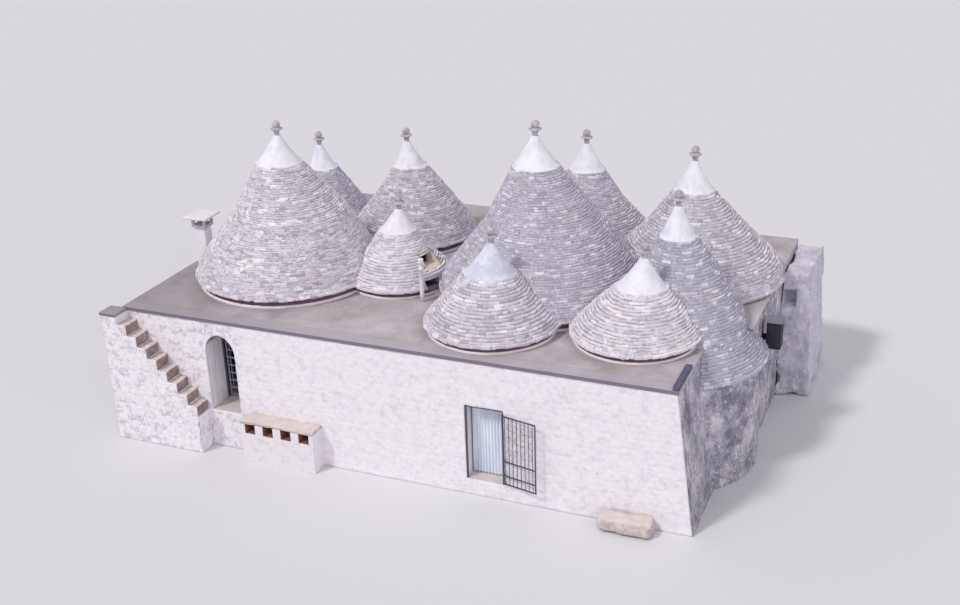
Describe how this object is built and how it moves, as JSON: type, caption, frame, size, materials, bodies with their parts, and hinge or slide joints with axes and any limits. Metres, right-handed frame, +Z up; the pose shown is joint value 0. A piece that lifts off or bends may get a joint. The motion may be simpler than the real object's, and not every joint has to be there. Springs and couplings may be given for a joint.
{
  "type": "trullo house",
  "caption": "Whitewashed rubble-walled house with a flat terrace roof, a cluster of dry-stone cones with white caps and ball finials, an outside stair, and barred iron gates.",
  "frame": {"origin": "on the level ground, under the middle of the house", "axes": "+Z up, -Y out of the front wall, +X towards the battered corner on the right"},
  "size_m": [18.74, 11.94, 9.0718],
  "materials": {
    "limewash": "limewashed rubble",
    "cone_stone": "rough lichened limestone",
    "white_plaster": "white lime plaster",
    "dressed_stone": "weathered dressed stone",
    "cement": "weathered cement",
    "worn_stone": "worn stone",
    "grey_stone": "grey stone",
    "rough_plaster": "rough rubble and plaster",
    "iron": "aged painted iron",
    "curtain_cloth": "light cotton",
    "white_pipe": "white paint",
    "flue_metal": "sooty black metal"
  },
  "bodies": {
    "house": {"arch_gate_frame": "iron", "arch_head": "limewash", "back_wall": "limewash", "bench_base": "limewash", "bench_slab": "limewash", "chimney_head": "grey_stone", "chimney_slab": "grey_stone", "chimney_stack": "limewash", "cone_back_left": "cone_stone", "cone_back_middle": "cone_stone", "cone_back_right": "cone_stone", "cone_big_left": "cone_stone", "cone_big_middle": "cone_stone", "cone_big_right": "cone_stone", "cone_caps": "white_plaster", "cone_front_middle": "cone_stone", "cone_front_right": "cone_stone", "cone_side_right": "cone_stone", "cone_window": "cone_stone", "curtain_rod": "iron", "door_curtain": "curtain_cloth", "door_head": "limewash", "finials": "dressed_stone", "flue_box": "flue_metal", "flue_lid": "flue_metal", "front_wall_left": "limewash", "front_wall_middle": "limewash", "front_wall_right": "limewash", "gate_frame": "iron", "high_floor": "worn_stone", "landing_cap": "cement", "left_wall": "limewash", "low_floor": "worn_stone", "rear_mass": "rough_plaster", "right_corner_wall": "rough_plaster", "right_wall_back": "rough_plaster", "round_bay": "rough_plaster", "stair_flight": "limewash", "stair_treads": "worn_stone", "stone_seat": "worn_stone", "terrace_kerb": "cement", "terrace_left": "cement", "terrace_middle": "cement", "terrace_right": "cement", "vent_pipe": "white_pipe", "window_surround": "white_plaster"},
    "front_gate": {"gate_leaf": "iron"},
    "arch_gate": {"arch_gate_leaf": "iron"}
  },
  "joints": [
    {"name": "front_gate_hinge", "type": "hinge", "parent": "house", "child": "front_gate", "pos_m": [3.2675, -5.648, 1.5], "axis": [0, 0, 1], "range_deg": [-168, 5]},
    {"name": "arch_gate_hinge", "type": "hinge", "parent": "house", "child": "arch_gate", "pos_m": [-4.8225, -4.707, 2], "axis": [0, 0, 1], "range_deg": [-95, 0]}
  ]
}
